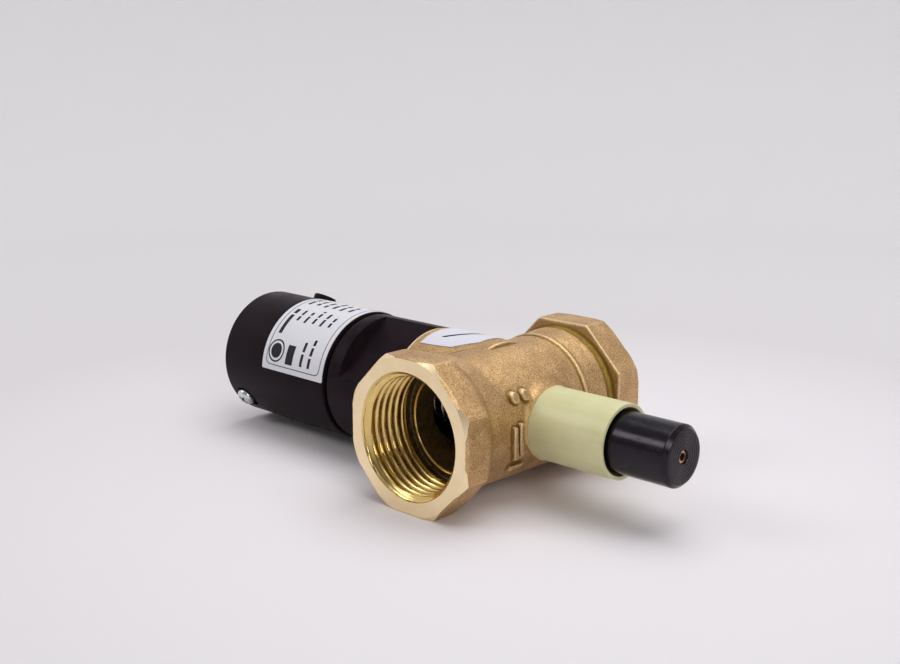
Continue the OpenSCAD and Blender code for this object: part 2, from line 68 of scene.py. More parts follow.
# Places taken from the frame -----

def span(node):
    """Lowest and highest corner of a CAD node, in millimetres."""
    low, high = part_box(node)
    return np.array(low) / MM, np.array(high) / MM


port_dims = next(mount["dims"] for mount in frame["record"]["mounts"] if mount["name"] == "rear_port")
body_low, body_high = span("valve_body")
housing_low, housing_high = span("coil_housing")
adapter_low, adapter_high = span("adapter")
cover_low, cover_high = span("end_cover")
screws_low, screws_high = span("cover_screws")
sleeve_low, sleeve_high = span("guard_sleeve")
knob_low, knob_high = span("reset_knob")
set_screw_low, set_screw_high = span("knob_screw")
label_low, label_high = span("rating_label")
spring_low, spring_high = span("closing_spring")

PORT_REACH = body_high[1]
OCTAGON_HALF = body_high[2]
NECK_END = body_low[0]
NECK_R = (adapter_high[2] - adapter_low[2]) / 2 - 0.03  # a hair under the adapter's flange
ADAPTER_R = (adapter_high[1] - adapter_low[1]) / 2
HOUSING_R = (housing_high[2] - housing_low[2]) / 2
HOUSING_FRONT = housing_high[0]
BOSS_REACH = sleeve_low[0]
SLEEVE_R = sleeve_high[1]
KNOB_R = knob_high[1]
BORE_R = port_dims["r_mm"]
COUNTERSINK = 1.6
THREAD_END = PORT_REACH - port_dims["length_mm"] - COUNTERSINK


# Mesh helpers -----

def make_piece(name, shape, *kinds, sharp_deg=32, tidy=True):
    """A mesh object from (points in millimetres, faces), smooth except at edges over sharp_deg.

    A piece with cavities comes with its faces already turned the right way, and isn't tidied."""
    points, faces = shape
    mesh = bpy.data.meshes.new(name)
    mesh.from_pydata((np.asarray(points, float) * MM).tolist(), [], [list(map(int, f)) for f in faces])
    piece = bpy.data.objects.new(name, mesh)
    bpy.context.scene.collection.objects.link(piece)
    for kind in kinds:
        mesh.materials.append(MATERIALS[kind])
    if tidy:
        tidy_normals(mesh)
    shade(piece, sharp_deg)
    return piece


def tidy_normals(mesh):
    """Merges doubled points and turns every face outwards."""
    bm = bmesh.new()
    bm.from_mesh(mesh)
    bmesh.ops.remove_doubles(bm, verts=bm.verts, dist=1e-7)
    bmesh.ops.recalc_face_normals(bm, faces=bm.faces)
    bm.to_mesh(mesh)
    bm.free()


def shade(piece, sharp_deg=32):
    piece.data.polygons.foreach_set("use_smooth", [True] * len(piece.data.polygons))
    piece.data.set_sharp_from_angle(angle=math.radians(sharp_deg))


def on_axis(axis, radius, station, theta):
    """The point at a station along the X or Y axis, at a radius and an angle round it."""
    if axis == "x":
        return (station, radius * math.cos(theta), radius * math.sin(theta))
    return (radius * math.sin(theta), station, radius * math.cos(theta))


def turned(profile, axis="x", steps=128, swell=None):
    """Points and faces of a closed (radius, station) outline turned about an axis.

    swell(radius, station, theta) may change a point's radius. Points at radius 0 are poles."""
    points, rings, faces = [], [], []
    for radius, station in profile:
        ring = len(points)
        if radius < 1e-9:
            points.append(on_axis(axis, 0, station, 0))
            rings.append([ring] * steps)
            continue
        for k in range(steps):
            theta = 2 * math.pi * k / steps
            r = swell(radius, station, theta) if swell else radius
            points.append(on_axis(axis, r, station, theta))
        rings.append(list(range(ring, ring + steps)))
    for here, there in zip(rings, rings[1:] + rings[:1], strict=True):
        if here[0] == here[-1] and there[0] == there[-1]:
            continue
        for k in range(steps):
            following = (k + 1) % steps
            face = dict.fromkeys((here[k], there[k], there[following], here[following]))
            faces.append(list(face))
    return points, faces


def rounded(corners, steps=4):
    """An outline from (a, b, fillet radius) corners, each fillet drawn as a short curve."""
    outline = []
    flat = [np.array(corner[:2], float) for corner in corners]
    for i, corner in enumerate(corners):
        here, before, after = flat[i], flat[i - 1], flat[(i + 1) % len(flat)]
        radius = corner[2] if len(corner) > 2 else 0
        if radius <= 0:
            outline.append(tuple(here))
            continue
        to_before, to_after = before - here, after - here
        reach = min(radius, 0.45 * np.linalg.norm(to_before), 0.45 * np.linalg.norm(to_after))
        first = here + to_before / np.linalg.norm(to_before) * reach
        last = here + to_after / np.linalg.norm(to_after) * reach
        for t in np.linspace(0, 1, steps + 1):
            outline.append(tuple((1 - t) ** 2 * first + 2 * t * (1 - t) * here + t * t * last))
    return outline


def rectangle(x0, x1, y0, y1):
    return [(x0, y0), (x1, y0), (x1, y1), (x0, y1)]


def prism(outline, z0, z1):
    """Points and faces of a straight prism along Z over a flat outline."""
    count = len(outline)
    points = [(x, y, z0) for x, y in outline] + [(x, y, z1) for x, y in outline]
    walls = [(i, (i + 1) % count, count + (i + 1) % count, count + i) for i in range(count)]
    return points, [list(range(count))[::-1], list(range(count, 2 * count))] + walls


def tube_faces(rings, sides):
    """Quads between rings of points that follow one another."""
    faces = []
    for ring in range(rings - 1):
        here, there = ring * sides, (ring + 1) * sides
        for k in range(sides):
            following = (k + 1) % sides
            faces.append((here + k, here + following, there + following, there + k))
    return faces


def radial(points, station, angle_deg, radius=0):
    """Turns points drawn round Z so that Z points away from the X axis, at a station and an angle."""
    a = math.radians(angle_deg)
    out = np.array([0, math.cos(a), math.sin(a)])
    along = np.array([1.0, 0, 0])
    across = np.cross(out, along)
    place = along * station + out * radius
    return [place + along * p[0] + across * p[1] + out * p[2] for p in np.asarray(points, float)]


def apply_modifiers(piece):
    """Replaces a piece's mesh with the result of its modifiers."""
    bpy.context.view_layer.update()
    evaluated = piece.evaluated_get(bpy.context.evaluated_depsgraph_get())
    result = bpy.data.meshes.new_from_object(evaluated)
    piece.modifiers.clear()
    piece.data = result


CLEAR = 3  # how far most cutters stand out of what they cut


def carve(piece, cutters):
    """Applies exact cuts to a piece. The cut faces take the cutters' materials."""
    for cutter in cutters:
        step = piece.modifiers.new("cut", "BOOLEAN")
        step.object = cutter
        step.operation = "DIFFERENCE"
        step.solver = "MANIFOLD"
        step.material_mode = "TRANSFER"
    apply_modifiers(piece)
    for cutter in cutters:
        bpy.data.objects.remove(cutter)


def place(piece, slot, *nodes, body=FIXED):
    """Rides the piece on its body, in the place of the CAD nodes that it stands for, if any."""
    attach(piece, body)
    if nodes:
        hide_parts(*nodes)


# Material helpers -----

MATERIALS = {}


class Shader:
    """A short way to build a material and keep it in MATERIALS. Sizes of textures are in millimetres."""

    def __init__(self, name):
        material = MATERIALS[name] = bpy.data.materials.new(name)
        material.use_nodes = True
        self.nodes = material.node_tree.nodes
        self.links = material.node_tree.links
        self.surface = self.nodes["Principled BSDF"]
        self.place = self.nodes.new("ShaderNodeTexCoord").outputs["Object"]

    def link(self, source, target):
        if hasattr(source, "links"):
            self.links.new(source, target)
        else:
            target.default_value = source

    def set(self, **inputs):
        for name, value in inputs.items():
            self.link(value, self.surface.inputs[name.replace("_", " ")])

    def stretched(self, x=1.0, y=1.0, z=1.0):
        node = self.nodes.new("ShaderNodeMapping")
        self.links.new(self.place, node.inputs["Vector"])
        node.inputs["Scale"].default_value = (x, y, z)
        return node.outputs["Vector"]

    def texture(self, kind, size, where=None):
        """A new texture node whose features have the given size."""
        node = self.nodes.new("ShaderNodeTex" + kind)
        self.links.new(where or self.place, node.inputs["Vector"])
        node.inputs["Scale"].default_value = 1 / (size * MM)
        return node

    def noise(self, size, detail=3.0, roughness=0.55, where=None):
        node = self.texture("Noise", size, where)
        node.inputs["Detail"].default_value = detail
        node.inputs["Roughness"].default_value = roughness
        return node.outputs["Fac"]

    def cells(self, size):
        return self.texture("Voronoi", size).outputs["Distance"]

    def waves(self, kind, pitch, direction, distortion):
        """Turning marks: waves in the distance from an axis (RINGS) or along it (BANDS)."""
        node = self.texture("Wave", pitch * 20 / (2 * math.pi))  # the node's own period is 2 pi / 20
        node.wave_type = kind
        node.rings_direction = node.bands_direction = direction
        node.inputs["Distortion"].default_value = distortion
        node.inputs["Detail"].default_value = 2
        return node.outputs["Fac"]

    def ramp(self, value, *stops):
        """Maps a value through (position, colour or grey) stops."""
        node = self.nodes.new("ShaderNodeValToRGB")
        self.links.new(value, node.inputs["Fac"])
        colours = [(c, c, c) if isinstance(c, (int, float)) else c for _, c in stops]
        elements = node.color_ramp.elements
        while len(elements) < len(stops):
            elements.new(0.5)
        for element, (position, _), colour in zip(elements, stops, colours, strict=True):
            element.position = position
            element.color = (*colour, 1)
        return node.outputs["Color"]

    def tones(self, value, low, high):
        """Maps the middle of a noise's range from one colour or grey to another."""
        return self.ramp(value, (0.3, low), (0.7, high))

    def mix(self, factor, first, second, blend="MIX"):
        node = self.nodes.new("ShaderNodeMix")
        node.data_type = "RGBA"
        node.blend_type = blend
        self.link(factor, node.inputs["Factor"])
        for value, name in ((first, "A"), (second, "B")):
            socket = next(s for s in node.inputs if s.name == name and s.type == "RGBA")
            self.link(value if hasattr(value, "links") else (*value, 1), socket)
        return next(s for s in node.outputs if s.type == "RGBA")

    def sum(self, first, second, share=1.0):
        node = self.nodes.new("ShaderNodeMath")
        node.operation = "MULTIPLY_ADD"
        self.links.new(second, node.inputs[0])
        node.inputs[1].default_value = share
        self.links.new(first, node.inputs[2])
        return node.outputs[0]

    def measure(self, operation, other=None):
        """The length of the place, or its product with a direction, in metres."""
        node = self.nodes.new("ShaderNodeVectorMath")
        node.operation = operation
        self.links.new(self.place, node.inputs[0])
        if other:
            node.inputs[1].default_value = other
        return node.outputs["Value"]

    def attribute(self, name):
        """A value stored on the mesh's points."""
        node = self.nodes.new("ShaderNodeAttribute")
        node.attribute_name = name
        return node.outputs["Fac"]

    def bump(self, height, depth, strength=1.0):
        node = self.nodes.new("ShaderNodeBump")
        self.links.new(height, node.inputs["Height"])
        node.inputs["Distance"].default_value = depth * MM
        node.inputs["Strength"].default_value = strength
        self.links.new(node.outputs["Normal"], self.surface.inputs["Normal"])


def cast_brass():
    """Blasted casting: tan grains over darker pits, pale on edges (rubbed wear and painted highlight), with a
    painted golden reflection in the rear groove and painted dark shade in the hollows.
    """
    s = Shader("cast_brass")
    grain = s.noise(0.33, detail=4, roughness=0.6)
    patches = s.noise(7, detail=4)
    colour = s.ramp(grain, (0.33, (0.33, 0.195, 0.078)), (0.50, (0.64, 0.430, 0.212)),
                    (0.67, (0.90, 0.66, 0.39)))
    shade_of = s.ramp(patches, (0.35, (0.78, 0.73, 0.66)), (0.7, (1.06, 1.02, 0.97)))
    colour = s.mix(1.0, colour, shade_of, "MULTIPLY")
    # painted reflection: the rear groove is turned golden, as if its walls lit each other
    colour = s.mix(s.ramp(s.attribute("groove"), (0.1, 0), (0.9, 0.8)), colour, (0.50, 0.345, 0.065))
    # painted shade: sharp hollows, such as the feet of the raised marks, are darkened
    colour = s.mix(s.ramp(s.attribute("hollow"), (0.08, 0), (0.6, 0.9)), colour, (0.22, 0.135, 0.025))
    # partly rubbed wear, partly painted highlight: convex edges are paled
    colour = s.mix(s.ramp(s.attribute("convex"), (0.25, 0), (1.0, 0.48)), colour, (0.95, 0.77, 0.50))
    s.set(Base_Color=colour, Metallic=0.95, Roughness=s.tones(grain, 0.56, 0.40))
    s.bump(s.sum(grain, s.cells(0.8), 0.5), 0.12, 0.8)


def machined_brass():
    """Freshly turned brass, with fine rings round the pipe axis."""
    s = Shader("machined_brass")
    rings = s.waves("RINGS", 0.18, "Y", 1.5)
    tone = s.noise(4, detail=2)
    colour = s.tones(tone, (0.96, 0.77, 0.47), (1.0, 0.83, 0.54))
    s.set(Base_Color=colour, Metallic=1.0, Roughness=s.ramp(rings, (0, 0.34), (1, 0.46)))
    s.bump(rings, 0.012, 0.5)


def shaded_thread_brass():
    """The cut threads: the same metal, its colour deepened as painted shade and reflection of the threads in
    one another.
    """
    s = Shader("shaded_thread_brass")
    tone = s.noise(3, detail=3)
    # painted shade and reflection: deeper, more golden brass than the machined faces
    colour = s.tones(tone, (0.74, 0.53, 0.18), (0.86, 0.65, 0.27))
    s.set(Base_Color=colour, Metallic=1.0, Roughness=s.tones(tone, 0.21, 0.29))
    s.bump(s.noise(0.5, detail=2), 0.012, 0.5)


def raw_and_shaded_bore_brass():
    """The cast chambers inside: the same metal, unblasted, and darker, partly as raw metal and partly as
    painted shade.
    """
    s = Shader("raw_and_shaded_bore_brass")
    grain = s.noise(1.2, detail=4)
    # partly painted shade: the chambers' brass is far darker than the cast brass outside
    colour = s.tones(grain, (0.10, 0.065, 0.022), (0.22, 0.150, 0.055))
    s.set(Base_Color=colour, Metallic=0.5, Roughness=0.5)
    s.bump(grain, 0.15, 0.6)


def turned_brass():
    """The small brass parts inside."""
    s = Shader("turned_brass")
    colour = s.tones(s.noise(3), (0.78, 0.57, 0.27), (0.88, 0.68, 0.36))
    s.set(Base_Color=colour, Metallic=1.0, Roughness=0.27)
    s.bump(s.waves("RINGS", 0.2, "X", 1.0), 0.01, 0.5)


def black_plastic():
    """Turned satin plastic: fine marks round the X axis and a faint violet tint."""
    s = Shader(BLACK)
    marks = s.waves("BANDS", 0.22, "X", 2.0)
    cloud = s.noise(6, detail=4)
    dust = s.ramp(s.noise(0.35, detail=3), (0.60, 0), (0.80, 0.4))
    colour = s.tones(cloud, (0.0085, 0.0045, 0.0062), (0.0135, 0.0078, 0.0105))
    colour = s.mix(dust, colour, (0.030, 0.024, 0.029))
    s.set(Base_Color=colour, Roughness=s.tones(cloud, 0.34, 0.46))
    s.set(Specular_IOR_Level=0.06, Specular_Tint=(1.0, 0.84, 1.0, 1))
    s.bump(s.sum(marks, cloud, 0.4), 0.012, 0.5)


def knob_plastic():
    """Glossier turned plastic, with rings on its end face and light scuffs along it."""
    s = Shader("knob_plastic")
    rings = s.waves("RINGS", 0.45, "X", 0.6)
    scuffs = s.noise(1.6, detail=5, roughness=0.75, where=s.stretched(0.35, 1, 1))
    colour = s.ramp(scuffs, (0.50, (0.0026, 0.0018, 0.0028)), (0.80, (0.014, 0.010, 0.016)))
    s.set(Base_Color=colour, Roughness=s.ramp(scuffs, (0.4, 0.15), (0.7, 0.32)))
    s.set(Specular_IOR_Level=0.32, Specular_Tint=(1.0, 0.86, 1.05, 1))
    s.bump(s.sum(rings, scuffs, 0.5), 0.014, 0.5)


def sleeve_plastic():
    """Pale green extruded tube, slightly clear, with drawn streaks along it."""
    s = Shader("sleeve_plastic")
    streaks = s.noise(1.2, detail=4, where=s.stretched(0.05, 1, 1))
    cloud = s.noise(7, detail=2)
    colour = s.tones(cloud, (0.62, 0.60, 0.31), (0.68, 0.665, 0.365))
    colour = s.mix(s.ramp(streaks, (0.35, 0), (0.75, 0.35)), colour, (0.73, 0.71, 0.54))
    s.set(Base_Color=colour, Roughness=s.tones(streaks, 0.32, 0.44))
    s.set(Subsurface_Weight=0.15, Subsurface_Scale=1.5 * MM, Subsurface_Radius=(1.0, 1.0, 0.5))
    s.bump(streaks, 0.02, 0.4)


def paper(name, colour):
    """Coated label stock with a faint mottle."""
    s = Shader(name)
    mottle = s.noise(0.6, detail=3)
    s.set(Base_Color=s.tones(mottle, tuple(0.94 * c for c in colour), colour), Roughness=0.42)
    s.bump(mottle, 0.006, 0.3)


def ink(name, colour):
    """Matt ink, thinner in places."""
    s = Shader(name)
    spread = s.noise(0.25, detail=2)
    s.set(Base_Color=s.ramp(spread, (0.3, colour), (0.8, tuple(1.8 * c for c in colour))), Roughness=0.6)
    s.set(Specular_IOR_Level=0.15)


def metal(name, low, high, roughness, mark_pitch=0.25):
    """A plain turned metal in two close tones."""
    s = Shader(name)
    tone = s.noise(1.5, detail=3)
    s.set(Base_Color=s.tones(tone, low, high), Metallic=1.0)
    s.set(Roughness=s.tones(tone, roughness, roughness + 0.1))
    s.bump(s.waves("BANDS", mark_pitch, "X", 1.0), 0.008, 0.4)


def soft(name, low, high, roughness):
    """Rubber or moulded plastic with a fine matt grain."""
    s = Shader(name)
    tone = s.noise(0.6, detail=3)
    s.set(Base_Color=s.tones(tone, low, high), Roughness=roughness)
    s.bump(tone, 0.02, 0.4)


for make in (cast_brass, machined_brass, shaded_thread_brass, raw_and_shaded_bore_brass, turned_brass, black_plastic,
             knob_plastic, sleeve_plastic):
    make()
paper("label_paper", (0.72, 0.725, 0.765))
paper("sticker_paper", (0.70, 0.71, 0.78))
ink("label_ink", (0.016, 0.017, 0.022))
ink("border_ink", (0.07, 0.08, 0.08))
ink("pen_ink", (0.006, 0.006, 0.010))
soft("rubber", (0.010, 0.010, 0.010), (0.020, 0.020, 0.020), 0.6)
soft("terminal_plastic", (0.55, 0.51, 0.40), (0.64, 0.60, 0.49), 0.45)
metal("zinc", (0.62, 0.66, 0.68), (0.80, 0.83, 0.84), 0.22)
metal("iron", (0.30, 0.30, 0.31), (0.42, 0.42, 0.43), 0.35)
metal("stainless", (0.55, 0.55, 0.55), (0.68, 0.68, 0.67), 0.22)
metal("copper", (0.58, 0.22, 0.09), (0.75, 0.33, 0.15), 0.30, mark_pitch=0.5)
metal("set_screw_copper", (0.62, 0.34, 0.17), (0.80, 0.50, 0.28), 0.28)


# Cast valve body -----

GRID = 0.36  # spacing of the grid that the casting is sampled on
BARREL_R = 17.6
TAPER_END = -17.0  # where the taper behind the front octagon ends
OCTAGON_IN = PORT_REACH - 9.1  # inner end of each octagon
COLLAR = (15.1, 23.4)  # both ends of the collar in front of the rear octagon
NECK_ROOT = 0.8
BOSS_R = 9.9
STOCK = 1.0  # what the machining takes off each cast face
RELIEF_R = 16.0  # the groove behind each thread
CHAMBER_R = 13.0
CHAMBER_END = THREAD_END - 1.5  # where each chamber opens into the relief behind the thread
WALL_IN, WALL_OUT = 12.8, 14.8  # faces of the cross walls that turn the flow to the seat
WEB_T = 2.5  # thickness of the web that holds the seat
FRONT_WALL_X = -1.2  # the front wall is on the knob's side of this
SEAT_R = 9.0
MARK_H = 1.1  # height of the raised foundry marks


def smooth_max(a, b, blend):
    """The larger of two fields, rounded where they meet."""
    h = np.clip(0.5 + 0.5 * (a - b) / blend, 0, 1)
    return b + (a - b) * h + blend * h * (1 - h)


def smooth_min(a, b, blend):
    return -smooth_max(-a, -b, blend)


def barrel_field(y, rho):
    """Distance to the barrel: a taper behind the front octagon, then a collar and a groove at the rear."""
    first, last = COLLAR
    outline = [
        (-OCTAGON_IN, OCTAGON_HALF - 1.0), (TAPER_END, BARREL_R), (first - 0.2, BARREL_R),
        (first + 0.2, BARREL_R + 0.65), (first + 1.2, BARREL_R + 0.35), (last - 0.3, BARREL_R + 0.95),
        (last + 0.4, BARREL_R - 0.1), (last + 1.2, BARREL_R - 0.2), (OCTAGON_IN + 0.3, OCTAGON_HALF - 1.2),
    ]
    stations, radii = zip(*outline, strict=True)
    return smooth_max((rho - np.interp(y, stations, radii)) * 0.95, np.abs(y) - PORT_REACH + 2, 0.2)


def octagon_field(x, y, z, side, edge):
    """Distance to one octagonal port end, left long so that the machining can face it off."""
    flats = np.full_like(x, -1e3)
    for k in range(8):
        a = k * math.pi / 4
        flats = smooth_max(flats, x * math.cos(a) + z * math.sin(a) - OCTAGON_HALF, 0.35)
    middle, half = side * (OCTAGON_IN + PORT_REACH + STOCK) / 2, (PORT_REACH + STOCK - OCTAGON_IN) / 2
    return smooth_max(flats, np.abs(y - middle) - half, edge)


def marks_field(x, y, z, rho):
    """Plain raised foundry marks beside the boss: two curved ribs, two pellets and a bar."""
    r, angle = np.hypot(y, z), np.degrees(np.arctan2(z, y)) % 360
    half = 0.7
    marks = np.maximum(np.abs(y + 11.5) - 2.5, np.abs(z + 9.6) - half)
    for rib_r, first, last in ((12.4, 168, 212), (14.5, 172, 209)):
        off_end = (np.abs(angle - (first + last) / 2) - (last - first) / 2) * np.radians(1) * rib_r
        marks = np.minimum(marks, np.maximum(np.abs(r - rib_r) - half, off_end))
    for pellet_y in (-12.5, -8.5):
        marks = np.minimum(marks, np.hypot(y - pellet_y, z - 8.9) - 1.45)
    return np.maximum(smooth_max(marks, rho - BARREL_R - MARK_H, 0.3), -x)


def chamber_field(x, y, rho):
    """Distance to the two flow chambers inside the casting."""
    bore = rho - CHAMBER_R
    front = np.maximum(np.maximum(bore, y - WALL_IN), -y - CHAMBER_END - 0.5)
    front = np.maximum(front, -np.maximum(-y - WALL_OUT, FRONT_WALL_X - x))
    rear = np.maximum(np.maximum(bore, -y - WALL_IN), y - CHAMBER_END - 0.5)
    rear = np.maximum(rear, -np.maximum(y - WALL_OUT, x - WEB_T))
    return np.minimum(front, rear)


def casting_field(x, y, z):
    """Distance to the casting's skin, and to the chambers in it."""
    rho, r = np.hypot(x, z), np.hypot(y, z)
    metal_in = smooth_min(barrel_field(y, rho), octagon_field(x, y, z, -1, 2.2), 2.8)
    metal_in = smooth_min(metal_in, octagon_field(x, y, z, 1, 0.5), 0.4)
    neck = smooth_max(r - NECK_R, np.maximum(x - NECK_ROOT, NECK_END - STOCK - x), 0.25)
    boss = smooth_max(r - BOSS_R, np.maximum(x - BOSS_REACH - STOCK, -x), 0.25)
    metal_in = smooth_min(smooth_min(metal_in, neck, 0.3), boss, 2.2)
    metal_in = smooth_min(metal_in, marks_field(x, y, z, rho), 0.2)
    return metal_in, chamber_field(x, y, rho)


def skin(field, low, step):
    """Points and quads of a sampled field's zero surface, with one point in each cell that it crosses."""
    inside = field < 0
    corners = np.array([(i, j, k) for i in (0, 1) for j in (0, 1) for k in (0, 1)])
    size = np.array(field.shape) - 1
    filled = sum(inside[i:i + size[0], j:j + size[1], k:k + size[2]].astype(np.int8) for i, j, k in corners)
    crossed = (filled > 0) & (filled < 8)
    cells = np.argwhere(crossed)
    number = np.full(size, -1)
    number[crossed] = np.arange(len(cells))
    values = [field[tuple((cells + corner).T)] for corner in corners]
    total, hits = np.zeros((len(cells), 3)), np.zeros(len(cells))
    for a in range(8):
        for b in range(a + 1, 8):
            if np.abs(corners[a] - corners[b]).sum() != 1:
                continue
            cut = (values[a] < 0) != (values[b] < 0)
            share = np.where(cut, values[a] / np.where(cut, values[a] - values[b], 1), 0)
            total += (corners[a] + share[:, None] * (corners[b] - corners[a])) * cut[:, None]
            hits += cut
    points = low + (cells + total / hits[:, None]) * step
    quads = []
    for axis in range(3):
        side, index = np.moveaxis(inside, axis, 0), np.moveaxis(number, axis, 0)
        edge = np.argwhere(side[:-1, 1:-1, 1:-1] != side[1:, 1:-1, 1:-1]) + (0, 1, 1)
        i, j, k = edge.T
        ring = np.stack([index[i, j - 1, k - 1], index[i, j, k - 1], index[i, j, k], index[i, j - 1, k]], 1)
        flip = side[i, j, k] == (axis == 1)
        ring[flip] = ring[flip][:, ::-1]
        quads.append(ring)
    return points, np.concatenate(quads)


def cast_skin():
    """The raw casting as a mesh, with the slight waviness of a sand mould."""
    past_cut, past_cast = 1.8, 0.9  # room round faces that are machined, and round the others
    low = np.array([NECK_END - past_cut, -PORT_REACH - past_cut, -OCTAGON_HALF - past_cast])
    high = np.array([OCTAGON_HALF + past_cast, PORT_REACH + past_cut, OCTAGON_HALF + past_cast])
    count = np.ceil((high - low) / GRID).astype(int) + 1
    x, y, z = np.meshgrid(*[low[i] + np.arange(count[i]) * GRID for i in range(3)], indexing="ij")
    outer, chambers = casting_field(x, y, z)
    shape = skin(np.maximum(outer, -chambers), low, GRID)
    body = make_piece("valve_casting", shape, "cast_brass", "raw_and_shaded_bore_brass", tidy=False)
    roughen(body.data)
    thinning = body.modifiers.new("thinning", "DECIMATE")
    thinning.ratio = 0.5
    apply_modifiers(body)
    mark_edges(body.data)
    middles = vectors(body.data.polygons, "center") / MM
    outer, chambers = casting_field(*middles.T)
    # partly painted shade: the chamber faces take the raw bore material, darker than the casting outside
    body.data.polygons.foreach_set("material_index", (np.abs(chambers) < np.abs(outer)).astype(np.int32))
    return body


def vectors(items, name):
    """A vector property of a mesh's points or faces, as rows."""
    values = np.zeros(len(items) * 3)
    items.foreach_get(name, values)
    return values.reshape(-1, 3)


def mark_edges(mesh):
    """Stores, for the material, how far each point is on an edge, in a hollow or in the rear groove: masks
    for its paler edges (wear and painted highlight), painted shade and painted reflection.
    """
    reach, spots = 0.7, vectors(mesh.vertices, "co") / MM
    bend = -6 * casting_field(*spots.T)[0]
    for step in reach * np.vstack([np.eye(3), -np.eye(3)]):
        bend += casting_field(*(spots + step).T)[0]
    round_barrel = reach ** 2 / BARREL_R
    share = (bend - round_barrel) / reach
    y, rho = spots[:, 1], np.hypot(spots[:, 0], spots[:, 2])
    groove = np.clip(y - COLLAR[1] + 0.3, 0, 1) * np.clip(OCTAGON_IN + 1.3 - y, 0, 1)
    groove *= np.clip(BARREL_R + 2 - rho, 0, 1)
    for name, value in (("convex", share), ("hollow", -share), ("groove", groove)):
        stored = mesh.attributes.new(name, "FLOAT", "POINT")
        stored.data.foreach_set("value", np.clip(value, 0, 1).astype(np.float32))


def roughen(mesh, height=0.05):
    """Moves each point along its normal by up to 1.7 heights, in lumps one to two millimetres wide."""
    spots, normals = vectors(mesh.vertices, "co") / MM, vectors(mesh.vertices, "normal")
    wide = np.array([noise.noise(Vector(spot * 0.45)) for spot in spots])
    fine = np.array([noise.noise(Vector(spot * 1.1 + 7)) for spot in spots])
    moved = spots + normals * ((wide + 0.7 * fine) * height)[:, None]
    mesh.vertices.foreach_set("co", (moved * MM).ravel())
    mesh.update()


THREAD_PITCH, THREAD_DEPTH = 2.309, 1.479
PLAIN_RING, RUN_OUT = 1.1, 0.5  # lengths of the plain bore behind the thread and of the thread's fade


def thread_swell(radius, station, theta):
    """Whitworth pipe thread on the bore, ending in a plain ring before the relief."""
    reach = abs(station)
    if radius > BORE_R + 1e-6 or reach < THREAD_END + 1e-6:
        return radius
    fade = min(1.0, max(0.0, (reach - THREAD_END - PLAIN_RING) / RUN_OUT))
    phase = station / THREAD_PITCH - theta / (2 * math.pi)
    groove = BORE_R + THREAD_DEPTH * fade * (0.5 - 0.5 * math.cos(2 * math.pi * phase))
    mouth = BORE_R + reach - (PORT_REACH - COUNTERSINK)
    return max(groove, mouth)


def port_cutter(side):
    """Cuts one port: relief groove, threaded bore and countersink."""
    lip, end, groove = CHAMBER_R + 0.2, CHAMBER_END, CHAMBER_END - 1.2
    profile = [
        (0, end - 0.2), (lip - 0.15, end - 0.2), (lip, end), (lip + 0.35, end), (lip + 0.5, groove),
        (RELIEF_R - 0.3, groove), (RELIEF_R, groove + 0.3), (RELIEF_R, THREAD_END - 0.001),
    ]
    profile += [(BORE_R, s) for s in np.arange(THREAD_END, PORT_REACH + 0.01, THREAD_PITCH / 14)]
    profile += [(BORE_R, PORT_REACH), (BORE_R, PORT_REACH + CLEAR), (0, PORT_REACH + CLEAR)]
    shape = turned([(r, side * s) for r, s in profile], "y", 120, thread_swell)
    return make_piece("port_cutter", shape, "shaded_thread_brass")


def face_cutter(side, offset):
    """Faces one octagon off and turns its corners, a little off the pipe axis as on the real part."""
    face_r = OCTAGON_HALF / math.cos(math.pi / 8) - 1.35
    wide_r, deep = face_r + 4, 3.2
    profile = [(0, PORT_REACH), (face_r, PORT_REACH), (wide_r, PORT_REACH - deep),
               (wide_r, PORT_REACH + CLEAR), (0, PORT_REACH + CLEAR)]
    points, faces = turned([(r, side * s) for r, s in profile], "y", 160)
    moved = np.array(points) + (offset[0], 0, offset[1])
    return make_piece("face_cutter", (moved, faces), "machined_brass")


def neck_cutter():
    """Cuts everything that is machined from the neck's end: its face, rim, bore, step and the seat."""
    end, far, rim = NECK_END, 30.0, NECK_R - 0.15
    bore, poppet_bore, step, seat_rim = 14.5, 12.5, end + 8.1, SEAT_R + 1.6
    profile = [
        (0, end - 4), (far, end - 4), (far, end + 0.9), (rim, end + 0.9), (rim, end + 0.15),
        (NECK_R - 0.3, end), (bore + 0.3, end), (bore, end + 0.3), (bore, step), (poppet_bore, step),
        (poppet_bore, 0), (seat_rim, 0), (seat_rim, -1), (SEAT_R, -1), (SEAT_R, WEB_T + 0.6),
        (0, WEB_T + 0.6),
    ]
    return make_piece("neck_cutter", turned(profile, "x", 144), "machined_brass")


def boss_cutter():
    """Faces the boss and bores it for the guide bush."""
    bush_r, far, deep = 6.5, BOSS_R + 0.6, BOSS_REACH - 9
    profile = [(0, deep), (bush_r, deep), (bush_r, BOSS_REACH), (far, BOSS_REACH), (far, BOSS_REACH + 4),
               (0, BOSS_REACH + 4)]
    return make_piece("boss_cutter", turned(profile, "x", 96), "machined_brass")


def valve_body():
    """The casting with its machined ports, neck and boss."""
    body = cast_skin()
    cutters = [port_cutter(-1), port_cutter(1), face_cutter(-1, (-0.18, -0.14)), face_cutter(1, (0.1, 0.1))]
    carve(body, cutters + [neck_cutter(), boss_cutter()])
    darken_reliefs(body)
    shade(body, 36)
    place(body, "cast_brass", "valve_body")


